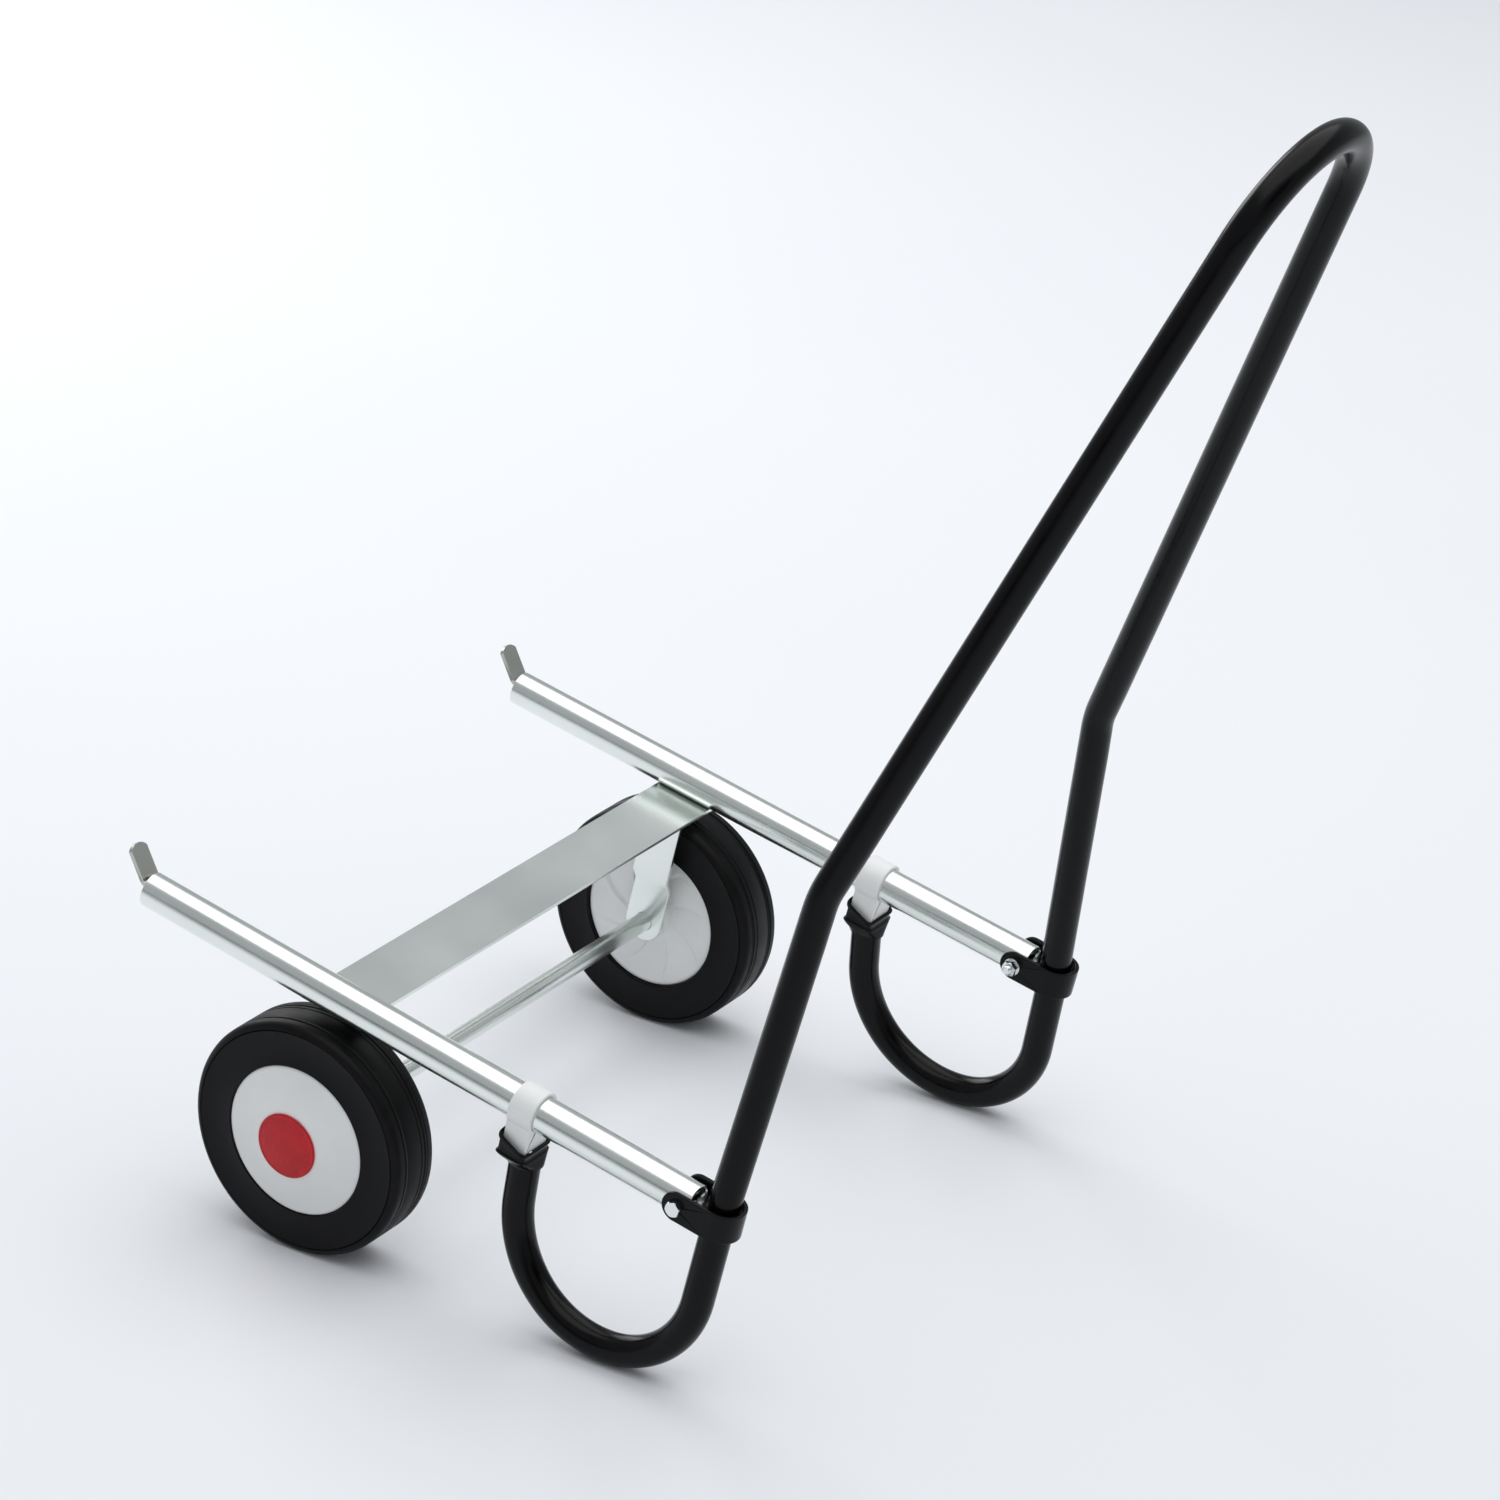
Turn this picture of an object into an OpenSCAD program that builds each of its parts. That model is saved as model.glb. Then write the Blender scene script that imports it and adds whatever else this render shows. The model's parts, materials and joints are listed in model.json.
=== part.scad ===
// Two-wheeled folding garden trolley frame.
// A bent steel tube forms the handle and both feet. Two rails with the axle and wheels hinge on it.
// Frame: +X is forward (from the handle to the load tabs), +Y is left, +Z is up. The floor is z = 0.

/* [Handle tube] */
// Outside diameter of the handle and foot tube
tube_d = 22; // [18:0.5:28]
// Wall of the handle and foot tube
tube_wall = 1.5; // [1:0.1:2]
// Height of the top of the handle above the floor
handle_h = 859; // [780:1:1050]
// Centre line radius of the bow at the top of the handle
bow_r = 73; // [50:1:90]
// Lean of the arms away from upright
arm_lean = 23.3; // [10:0.1:30]
// Height of the bend above the hinge
knee_z = 354; // [300:1:420]
// Half the distance between the arms at that bend
knee_half_w = 177.5; // [150:0.5:195]
// Centre line radius of that bend
knee_r = 90; // [70:1:110]
// Lean of the rear legs away from upright
rear_leg_lean = 9.8; // [6:0.1:12]
// Centre line radius of the small bend at the hinge
hinge_bend_r = 60; // [40:1:80]
// Lean of the front legs away from upright
front_leg_lean = 4.2; // [0:0.1:8]
// Centre line radius of the front bend of a foot
toe_r = 77; // [60:1:94]
// Straight run between the two bends of a foot
foot_flat = 1; // [1:0.5:8]
// How far each foot stands outside its rail
foot_splay = 9; // [0:0.5:14]
// How far the top of each front leg stands inside its rail
front_leg_in = 2; // [0:0.5:4]

/* [Rails] */
// Outside diameter of the rails
rail_d = 25; // [22:0.5:32]
// Wall of the rails
rail_wall = 1.5; // [1:0.1:2]
// Length of each rail
rail_len = 453; // [430:1:560]
// Distance between the rail centres
rail_gauge = 434; // [420:1:530]
// Upward tilt of the rails in use
rail_tilt = 11.46; // [8:0.01:14]

/* [Load tabs] */
// Width of the steel strip of a load tab
tab_w = 16; // [12:0.5:18]
// Thickness of that strip
tab_t = 3; // [2:0.1:4]
// Length of the strip inside the rail
tab_tail = 60; // [30:1:90]
// Length of the raised part of the tab
tab_rise = 25; // [18:1:40]
// Angle of the raised part to the rail
tab_angle = 51; // [30:1:80]
// Inner radius of the bend in the tab
tab_bend_r = 3; // [2:0.5:6]
// Radius of the rounded tip of the tab
tab_tip_r = 10; // [9:0.5:14]

/* [Axle and brackets] */
// Distance from the rear end of a rail to the axle, along the rail
axle_u = 291; // [270:1:320]
// Drop from the rail centre line to the axle, square to the rail
axle_drop = 109; // [107:1:125]
// Diameter of the axle
axle_d = 14; // [12:0.5:16]
// Width of the cross plate, along the rails
plate_w = 46; // [36:1:70]
// Thickness of the cross plate
plate_t = 3; // [2:0.1:4]
// How far the cross plate runs past each rail centre
plate_over = 1; // [0.5:0.5:10]
// Distance from the axle to the middle of the cross plate, along the rails
plate_shift = 6; // [0:0.5:12]
// Width of an axle bracket
bracket_w = 30; // [24:0.5:36]
// Thickness of an axle bracket
bracket_t = 3; // [2:0.1:4]
// Length of the flange of the bracket under the cross plate
bracket_flange = 22; // [14:1:40]
// Distance from the rail centre to the inner face of the bracket, at the plate
bracket_inset = 39; // [35:0.5:42]
// Outward step of the bracket on its way down
bracket_step = 7.6; // [4:0.1:9]
// Height above the axle at which the step ends
step_low = 32; // [24:1:40]
// Height over which the bracket steps outward
step_h = 11; // [8:1:16]

/* [Wheels] */
// Diameter of the wheels
wheel_d = 170; // [150:1:172]
// Width of a tyre
tyre_w = 44; // [36:0.5:46]
// Radius of the round shoulders of a tyre
shoulder_r = 5; // [3:0.5:10]
// How far the middle of a tyre lies inside the rail centre
tyre_inset = 2.5; // [0:0.1:4]
// Diameter of the plastic hub inside the tyre
hub_d = 108; // [96:1:116]
// How far the outer face of the hub lies inside the tyre
hub_set = 0.5; // [0.2:0.1:3]
// How far the inner face of the hub lies inside the tyre
hub_recess = 3; // [1:0.1:6]
// Wall of the hub
hub_wall = 3; // [2:0.1:5]
// Diameter of the boss that runs on the axle
boss_d = 30; // [24:0.5:36]
// How far the outer face of the hub rises from its rim to the cap
hub_rise = 8.5; // [7:0.1:12]
// Diameter of the pocket in the hub for the axle end
pocket_d = 30; // [28:0.5:34]
// Diameter of the hub cap
cap_d = 46.6; // [42:0.2:52]
// Height of the hub cap over the hub
cap_h = 3; // [2:0.1:5]
// Height of the straight edge of the cap
cap_edge = 1.2; // [0.6:0.1:1.8]
// Wall of the spigot that holds the cap in the pocket
spigot_wall = 1.2; // [0.8:0.1:1.8]
// Length of that spigot
spigot_len = 4; // [2:0.1:5]
// Thickness of the washer between bracket and hub
axle_washer_t = 1.6; // [1:0.1:2]
// Outside diameter of that washer
axle_washer_d = 26; // [22:0.5:28]
// Thickness of the push-on retainer at the axle end
retainer_t = 2.5; // [1.5:0.1:4]
// Outside diameter of the retainer
retainer_d = 26; // [22:0.5:30]
// Length of axle beyond the retainer
axle_stub = 2; // [1:0.1:3]

/* [Hinges] */
// Distance from the rear end of a rail to the hinge bolt
pivot_u = 6.8; // [6:0.1:9]
// Distance from the hinge bolt back to the handle tube
pivot_back = 25.5; // [25:0.1:32]
// Thickness of the hinge strap
strap_t = 3; // [2:0.1:4]
// Height of the hinge strap
strap_h = 21; // [18:0.5:28]
// Nominal diameter of the hinge bolt
bolt_d = 6; // [5:1:8]
// Width across the flats of bolt head and nut
hex_af = 10; // [8:0.5:13]
// Height of the bolt head
head_h = 4; // [3:0.1:5]
// Height of the nut
nut_h = 5; // [4:0.1:7]
// Outside diameter of the nut washer
nut_washer_d = 12.5; // [11:0.5:18]
// Thickness of the nut washer
nut_washer_t = 1.6; // [1:0.1:2]
// Length of bolt showing past the nut
bolt_end = 3; // [1:0.5:8]
// Outside diameter of the sleeve that the rail turns on
sleeve_d = 9; // [8:0.1:12]

/* [Seats and clips] */
// Distance from the rear end of a rail to the middle of the clip
clip_u = 132.3; // [110:0.5:160]
// Length of the clip along the rail
clip_w = 19; // [14:0.5:24]
// Wall of the clip around the rail
clip_wall = 2.8; // [2:0.1:4]
// Distance from the rail centre line to the bottom of the clip
clip_drop = 28; // [24:0.5:32]
// Opening width of the rail seat along the rail
seat_u = 24.5; // [22:0.5:30]
// Width of the rail seat across the rail
seat_w = 34; // [32:0.5:40]
// Depth of the front rim of the seat under the rail centre line
seat_front = 17; // [15:0.5:22]
// Depth of the rear rim of the seat under the rail centre line
seat_rear = 27; // [23:0.5:29]
// Depth of the bend between the straight walls and the funnel
seat_low = 32; // [30:0.5:36]
// Height of the funnel from the straight walls to the leg
seat_funnel = 9; // [8:0.5:18]
// How far the leg stands behind the middle of the seat
leg_back = 3.3; // [0:0.1:5]
// Sheet thickness of the seat
seat_wall = 1.8; // [1:0.1:2.5]

/* [Fits] */
// Radial clearance of the wheels on the axle
axle_clear = 0.08; // [0.04:0.01:0.1]
// Radial clearance of the rail on the hinge sleeve
sleeve_clear = 0.06; // [0.04:0.01:0.1]
// Side gap between a rail and its hinge strap
strap_gap = 0.4; // [0.3:0.1:1]
// Side gap between the parts along the axle
side_gap = 0.3; // [0.2:0.1:0.6]
// Play of a bolt in its holes, on the diameter
hole_play = 0.4; // [0.2:0.1:0.8]
// Play of the hinge bolt in its sleeve, on the diameter
sleeve_play = 0.2; // [0.1:0.1:0.4]
// Radial clearance of the cap's spigot in its pocket
spigot_clear = 0.05; // [0.02:0.01:0.1]
// Gap between a load tab and the inside of its rail
tab_gap = 0.1; // [0.05:0.05:0.3]

/* [Hidden] */

$fn = 64;

// Collars over the seams of a bent rod: extra diameter and length
seam_d = 0.1;
seam_len = 0.4;
// Segments of the large circle that the crown of the cap is cut from
crown_fn = 720;

LEFT = 1;
RIGHT = -1;
INK = "#1b1b1d";
ZINC = "#c9cfcb";
STRIP = "#8f9692";
WHITE = "#eceff0";
RED = "#c8101e";

// Places that several parts share, first in the rail frame: u along the rail, v square to it.
rail_r = rail_d / 2;
tube_r = tube_d / 2;
bore_r = rail_r - rail_wall;
tab_top = sqrt(bore_r * bore_r - tab_w * tab_w / 4) - tab_gap;
tab_base = tab_top - tab_t;
tab_arc = tab_bend_r + tab_t / 2;
tab_tip_u = rail_len + tab_arc * sin(tab_angle) + tab_rise * cos(tab_angle)
    + tab_t / 2 * sin(tab_angle);

// The rail frame in the side view, measured from the axle.
rail_x0 = -axle_u * cos(rail_tilt) - axle_drop * sin(rail_tilt);
rail_z0 = wheel_d / 2 - axle_u * sin(rail_tilt) + axle_drop * cos(rail_tilt);
function side_view(u, v) = [
    rail_x0 + u * cos(rail_tilt) - v * sin(rail_tilt),
    rail_z0 + u * sin(rail_tilt) + v * cos(rail_tilt)
];

// Handle tube, measured from the axle: the rear leg runs through the hinge, up to the knee.
rail_y = rail_gauge / 2;
hinge = side_view(pivot_u - pivot_back, 0);
knee_x = hinge[0] - (knee_z - hinge[1]) * tan(rear_leg_lean);
heel_x = hinge[0] + (hinge[1] - tube_r) * tan(rear_leg_lean);
seat_throat_v = -seat_low - seat_funnel;
leg_top = side_view(clip_u - leg_back, seat_throat_v);
toe_x = leg_top[0] + (leg_top[1] - tube_r) * tan(front_leg_lean);
toe_run = toe_r * tan((90 + front_leg_lean) / 2);
heel_r = (toe_x - heel_x - foot_flat - toe_run) / tan((90 - rear_leg_lean) / 2);

// The two arms meet the bow in one leaning plane. The bow's circle touches both arms.
bow_z = handle_h - tube_r;
arm_run = (bow_z - knee_z) / cos(arm_lean);
bow_centre = arm_run - bow_r;
arm_taper = atan(knee_half_w / bow_centre)
    - asin(bow_r / norm([knee_half_w, bow_centre]));
apex_run = knee_half_w / tan(arm_taper);
apex = [knee_x - apex_run * sin(arm_lean), 0, knee_z + apex_run * cos(arm_lean)];
handle_back_x = knee_x - arm_run * sin(arm_lean) - tube_r;

// The origin is under the middle of the whole trolley, so the axle stands in front of it.
axle_x = -(handle_back_x + side_view(tab_tip_u, 0)[0]) / 2;
axle_z = wheel_d / 2;

// Across the trolley, from the bracket outward.
bracket_in = rail_y - bracket_inset;
bracket_out = bracket_in + bracket_step + bracket_t;
tyre_in = rail_y - tyre_inset - tyre_w / 2;
tyre_out = tyre_in + tyre_w;
hub_in = bracket_out + axle_washer_t + side_gap;
hub_out = tyre_out - hub_set;
retainer_in = hub_out + side_gap;
axle_end = retainer_in + retainer_t + axle_stub;
hub_top = hub_out + hub_rise;
strap_in = rail_r + strap_gap;
strap_out = strap_in + strap_t;
plate_top = -rail_r;
plate_u = axle_u + plate_shift;

function mirrored(points) = [for (i = [len(points) - 1:-1:0]) [points[i][0], -points[i][1], points[i][2]]];
half_path = [
    [leg_top[0], rail_y - front_leg_in, leg_top[1]],
    [toe_x, rail_y + foot_splay, tube_r],
    [heel_x, rail_y + foot_splay, tube_r],
    [hinge[0], rail_y, hinge[1]],
    [knee_x, knee_half_w, knee_z],
];
half_radii = [0, toe_r, heel_r, hinge_bend_r, knee_r];
tube_path = concat(half_path, [apex], mirrored(half_path));
tube_radii = concat(half_radii, [bow_r], [for (i = [len(half_radii) - 1:-1:0]) half_radii[i]]);

function unit(v) = v / norm(v);
function turn(a, b) = atan2(norm(cross(a, b)), a * b);
function bend_turn(path, i) = turn(path[i] - path[i - 1], path[i + 1] - path[i]);
function trim(path, radii, i) =
    i == 0 || i == len(path) - 1 ? 0 : radii[i] * tan(bend_turn(path, i) / 2);

// ---------- shared shapes ----------

module ring(d, bore) {
    difference() {
        circle(d = d);
        circle(d = bore);
    }
}

// Straight rod from one point to another
module straight(from, to, d) {
    run = to - from;
    translate(from)
        rotate([0, turn([0, 0, 1], run), atan2(run[1], run[0])])
            cylinder(d = d, h = norm(run));
}

// Rod bent at radius r around the corner b of the path a, b, c.
// A collar thinner than paint covers each seam between straight and bend.
module bend(a, b, c, r, d) {
    into = unit(b - a);
    out = unit(c - b);
    angle = turn(into, out);
    centre = b + unit(out - into) * r / cos(angle / 2);
    e1 = unit(b - into * r * tan(angle / 2) - centre);
    e3 = unit(cross(into, out));
    e2 = cross(e3, e1);
    multmatrix([
        [e1[0], e2[0], e3[0], centre[0]],
        [e1[1], e2[1], e3[1], centre[1]],
        [e1[2], e2[2], e3[2], centre[2]],
        [0, 0, 0, 1]
    ]) {
        rotate_extrude(angle = angle) translate([r, 0]) circle(d = d);
        for (end = [0, angle])
            rotate([0, 0, end]) translate([r, 0, 0]) rotate([90, 0, 0])
                cylinder(d = d + seam_d, h = seam_len, center = true);
    }
}

module bent_rod(path, radii, d) {
    for (i = [0:len(path) - 2]) {
        along = unit(path[i + 1] - path[i]);
        straight(path[i] + along * trim(path, radii, i),
            path[i + 1] - along * trim(path, radii, i + 1), d);
        if (i > 0) bend(path[i - 1], path[i], path[i + 1], radii[i], d);
    }
}

// Puts a shape drawn in the rail frame (x = u, y = across, z = v) in its place on one side
module on_rail(side) {
    translate([axle_x + rail_x0, side * rail_y, rail_z0])
        rotate([0, -rail_tilt, 0])
            on_side(side) children();
}

// Right-hand parts are mirror images of the left-hand ones
module on_side(side) {
    if (side == LEFT) children();
    else mirror([0, 1, 0]) children();
}

// Cylinder along +Y that starts at the given distance from the middle plane
module across(y, len, d) {
    translate([0, y, 0]) rotate([-90, 0, 0]) cylinder(d = d, h = len);
}

// A shape turned about the axle, drawn with x = radius and -y = distance from the middle plane
module on_axle(side) {
    translate([axle_x, 0, axle_z])
        on_side(side)
            rotate([90, 0, 0]) rotate_extrude() children();
}

// ---------- handle frame ----------

module handle_tube() {
    color(INK)
        translate([axle_x, 0, 0]) difference() {
            bent_rod(tube_path, tube_radii, tube_d);
            bent_rod(tube_path, tube_radii, tube_d - 2 * tube_wall);
        }
}

// Strap bent round the back of the handle tube, with an ear on each side of the rail
module hinge_strap(side) {
    back_u = pivot_u - pivot_back;
    color(INK) on_rail(side) difference() {
        intersection() {
            linear_extrude(strap_h, center = true) difference() {
                u_outline(back_u, pivot_u + strap_h, strap_out);
                u_outline(back_u, pivot_u + strap_h + 1, strap_in);
            }
            union() {
                translate([pivot_u, 0, 0]) across(-strap_out - 1, 2 * strap_out + 2, strap_h);
                translate([back_u - 2 * strap_out, -strap_out - 1, -strap_h / 2])
                    cube([pivot_u - back_u + 2 * strap_out, 2 * strap_out + 2, strap_h]);
            }
        }
        translate([pivot_u, 0, 0]) across(-strap_out - 1, 2 * strap_out + 2, bolt_d + hole_play);
    }
}

// Outline of a U that is open towards +X
module u_outline(back, front, half) {
    translate([back, 0]) circle(half);
    translate([back, -half]) square([front - back, 2 * half]);
}

// Square sheet-metal funnel on top of the foot, which the clip drops into.
// Its rim falls from the front wall to the rear wall.
module rail_seat(side) {
    rim_lean = atan((seat_rear - seat_front) / seat_u);
    color(INK) on_rail(side) difference() {
        seat_shell(0);
        seat_shell(seat_wall);
        translate([clip_u + seat_u / 2, 0, -seat_front]) rotate([0, -rim_lean, 0])
            translate([-2 * seat_u, -seat_w, 0]) cube([4 * seat_u, 2 * seat_w, 2 * seat_u]);
    }
}

module seat_shell(inset) {
    half_u = seat_u / 2 - inset;
    half_y = seat_w / 2 - inset;
    lift = inset == 0 ? 0 : 1;
    translate([clip_u - half_u, -half_y, -seat_low])
        cube([2 * half_u, 2 * half_y, seat_low - seat_front + lift]);
    hull() {
        translate([clip_u - half_u, -half_y, -seat_low])
            cube([2 * half_u, 2 * half_y, 0.01]);
        translate([clip_u - leg_back, -front_leg_in, seat_throat_v - lift])
            cylinder(r = tube_r + seat_wall - inset, h = 0.01, $fn = 32);
    }
}

module pivot_bolt(side) {
    grip = 2 * strap_out + nut_washer_t + nut_h + bolt_end;
    color(ZINC) on_rail(side) translate([pivot_u, 0, 0]) {
        translate([0, strap_out, 0]) rotate([-90, 0, 0])
            cylinder(r = hex_af / sqrt(3), h = head_h, $fn = 6);
        across(strap_out - grip, grip, bolt_d);
    }
}

module pivot_washer(side) {
    color(ZINC) on_rail(side) translate([pivot_u, 0, 0]) difference() {
        across(-strap_out - nut_washer_t, nut_washer_t, nut_washer_d);
        across(-strap_out - nut_washer_t - 1, nut_washer_t + 2, bolt_d + hole_play);
    }
}

module pivot_nut(side) {
    low = -strap_out - nut_washer_t - nut_h;
    color(ZINC) on_rail(side) translate([pivot_u, 0, 0]) difference() {
        translate([0, low, 0]) rotate([-90, 0, 0])
            cylinder(r = hex_af / sqrt(3), h = nut_h, $fn = 6);
        across(low - 1, nut_h + 2, bolt_d);
    }
}

module pivot_sleeve(side) {
    color(ZINC) on_rail(side) translate([pivot_u, 0, 0]) difference() {
        across(-strap_in, 2 * strap_in, sleeve_d);
        across(-strap_in - 1, 2 * strap_in + 2, bolt_d + sleeve_play);
    }
}

// ---------- platform ----------

module rail(side) {
    color(ZINC) on_rail(side) difference() {
        rotate([0, 90, 0]) linear_extrude(rail_len) ring(rail_d, 2 * bore_r);
        translate([pivot_u, 0, 0]) across(-rail_d, 2 * rail_d, sleeve_d + 2 * sleeve_clear);
    }
}

module load_tab(side) {
    color(STRIP) on_rail(side) {
        translate([rail_len - tab_tail, -tab_w / 2, tab_base]) cube([tab_tail, tab_w, tab_t]);
        translate([rail_len, 0, tab_top + tab_bend_r]) {
            rotate([90, 0, 0]) rotate([0, 0, -90])
                rotate_extrude(angle = tab_angle)
                    translate([tab_bend_r, -tab_w / 2]) square([tab_t, tab_w]);
            rotate([0, -tab_angle, 0]) translate([0, 0, -tab_bend_r - tab_t])
                linear_extrude(tab_t) tab_outline();
        }
    }
}

// Raised part of the tab: a strip that ends in a shallow arc
module tab_outline() {
    intersection() {
        translate([0, -tab_w / 2]) square([tab_rise, tab_w]);
        union() {
            translate([tab_rise - tab_tip_r, 0]) circle(tab_tip_r);
            translate([0, -tab_w / 2]) square([tab_rise - tab_tip_r, tab_w]);
        }
    }
}

module cross_plate() {
    half = rail_y + plate_over;
    color(ZINC)
        translate([axle_x + rail_x0, 0, rail_z0]) rotate([0, -rail_tilt, 0])
            translate([plate_u - plate_w / 2, -half, plate_top - plate_t])
                cube([plate_w, 2 * half, plate_t]);
}

// Strip that hangs from the cross plate, steps outward and carries the axle
module axle_bracket(side) {
    top = plate_top - plate_t;
    inner = -bracket_inset;
    low = -axle_drop;
    color(ZINC) on_rail(side) difference() {
        translate([axle_u - bracket_w / 2, 0, 0]) rotate([90, 0, 90])
            linear_extrude(bracket_w) bracket_profile(inner, top, low);
        bracket_end_cut(low);
        translate([axle_u, 0, low]) across(-rail_y, 2 * rail_y, axle_d);
    }
}

// Side view of the bracket, seen along the rail: x = across, y = v
module bracket_profile(inner, top, low) {
    outer = inner + bracket_step;
    bottom = low - bracket_w / 2;
    knee_low = low + step_low;
    knee_high = knee_low + step_h;
    polygon([
        [outer, bottom],
        [outer + bracket_t, bottom],
        [outer + bracket_t, knee_low],
        [inner + bracket_t, knee_high],
        [inner + bracket_t, top],
        [inner - bracket_flange, top],
        [inner - bracket_flange, top - bracket_t],
        [inner, top - bracket_t],
        [inner, knee_high],
        [outer, knee_low],
    ]);
}

// Takes the corners off the lower end, so that it is round about the axle
module bracket_end_cut(low) {
    translate([axle_u, -rail_y, low]) rotate([-90, 0, 0]) linear_extrude(2 * rail_y)
        difference() {
            translate([-bracket_w, 0]) square([2 * bracket_w, bracket_w]);
            circle(d = bracket_w);
        }
}

// Plastic saddle that wraps the rail and rests in the seat
module rail_clip(side) {
    outer = rail_r + clip_wall;
    color(WHITE) on_rail(side) difference() {
        translate([clip_u - clip_w / 2, 0, 0]) rotate([90, 0, 90]) linear_extrude(clip_w)
            union() {
                circle(outer);
                translate([-rail_r, -clip_drop]) square([2 * rail_r, clip_drop]);
            }
        translate([clip_u - clip_w, 0, 0]) rotate([0, 90, 0]) cylinder(r = rail_r, h = 2 * clip_w);
    }
}

module axle() {
    color(ZINC) translate([axle_x, 0, axle_z]) across(-axle_end, 2 * axle_end, axle_d);
}

module axle_washer(side) {
    color(ZINC) on_axle(side)
        ring_profile(axle_d, axle_washer_d, bracket_out, bracket_out + axle_washer_t);
}

module axle_retainer(side) {
    color(ZINC) on_axle(side)
        ring_profile(axle_d, retainer_d, retainer_in, retainer_in + retainer_t);
}

module ring_profile(bore, outer, y0, y1) {
    translate([bore / 2, -y1]) square([(outer - bore) / 2, y1 - y0]);
}

// ---------- wheels ----------

// Solid rubber tyre: flat tread with round shoulders
module tyre(side) {
    color(INK) on_axle(side) difference() {
        translate([0, -tyre_out]) shoulder_outline(wheel_d / 2, tyre_w, shoulder_r);
        translate([-1, -tyre_out - 1]) square([hub_d / 2 + 1, tyre_w + 2]);
    }
}

// Half cross-section of a wheel of radius r: the outer corners are round
module shoulder_outline(r, w, round) {
    square([r - round, w]);
    translate([0, round]) square([r, w - 2 * round]);
    for (y = [round, w - round]) translate([r - round, y]) circle(round);
}

// One hollow moulding: rim, faces and the boss on the axle. The outer face rises to the cap,
// which covers a pocket for the axle end.
module wheel_hub(side) {
    bore_rad = axle_d / 2 + axle_clear;
    rim_r = hub_d / 2;
    rim_in = tyre_in + hub_recess;
    core_r = pocket_d / 2 + hub_wall;
    color(WHITE) on_axle(side) difference() {
        polygon([
            [bore_rad, -hub_in],
            [boss_d / 2, -hub_in],
            [boss_d / 2, -rim_in],
            [rim_r, -rim_in],
            [rim_r, -hub_out],
            [cap_d / 2, -hub_top],
            [pocket_d / 2, -hub_top],
            [pocket_d / 2, -hub_out],
            [bore_rad, -hub_out],
        ]);
        polygon([
            [core_r, -rim_in - hub_wall],
            [rim_r - hub_wall, -rim_in - hub_wall],
            [rim_r - hub_wall, -hub_out + hub_wall],
            [cap_d / 2, -hub_top + hub_wall],
            [core_r, -hub_top + hub_wall],
        ]);
    }
}

// Shallow domed cap over the axle end, held by a spigot in the pocket of the hub
module hub_cap(side) {
    crown = cap_h - cap_edge;
    crown_r = (cap_d * cap_d / 4 + crown * crown) / (2 * crown);
    spigot_r = pocket_d / 2 - spigot_clear;
    color(RED) on_axle(side) {
        intersection() {
            translate([0, crown_r - hub_top - cap_h]) circle(crown_r, $fn = crown_fn);
            translate([0, -hub_top - cap_h]) square([cap_d / 2, cap_h]);
        }
        translate([spigot_r - spigot_wall, -hub_top]) square([spigot_wall, spigot_len]);
    }
}

handle_tube();
hinge_strap(LEFT);  // left_hinge_strap
hinge_strap(RIGHT);  // right_hinge_strap
rail_seat(LEFT);  // left_rail_seat
rail_seat(RIGHT);  // right_rail_seat
pivot_bolt(LEFT);  // left_pivot_bolt
pivot_bolt(RIGHT);  // right_pivot_bolt
pivot_washer(LEFT);  // left_pivot_washer
pivot_washer(RIGHT);  // right_pivot_washer
pivot_nut(LEFT);  // left_pivot_nut
pivot_nut(RIGHT);  // right_pivot_nut
pivot_sleeve(LEFT);  // left_pivot_sleeve
pivot_sleeve(RIGHT);  // right_pivot_sleeve
rail(LEFT);  // left_rail
rail(RIGHT);  // right_rail
load_tab(LEFT);  // left_load_tab
load_tab(RIGHT);  // right_load_tab
cross_plate();
axle_bracket(LEFT);  // left_axle_bracket
axle_bracket(RIGHT);  // right_axle_bracket
rail_clip(LEFT);  // left_rail_clip
rail_clip(RIGHT);  // right_rail_clip
axle();
axle_washer(LEFT);  // left_axle_washer
axle_washer(RIGHT);  // right_axle_washer
axle_retainer(LEFT);  // left_axle_retainer
axle_retainer(RIGHT);  // right_axle_retainer
tyre(LEFT);  // left_tyre
tyre(RIGHT);  // right_tyre
wheel_hub(LEFT);  // left_wheel_hub
wheel_hub(RIGHT);  // right_wheel_hub
hub_cap(LEFT);  // left_hub_cap
hub_cap(RIGHT);  // right_hub_cap
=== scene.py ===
"""Two-wheeled folding trolley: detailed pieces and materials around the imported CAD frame.

Row frame, in metres: +X forward, +Y left, +Z up, floor at z = 0.
"""
import json
import math

import bmesh
import bpy
from mathutils import Matrix, Vector


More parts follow.
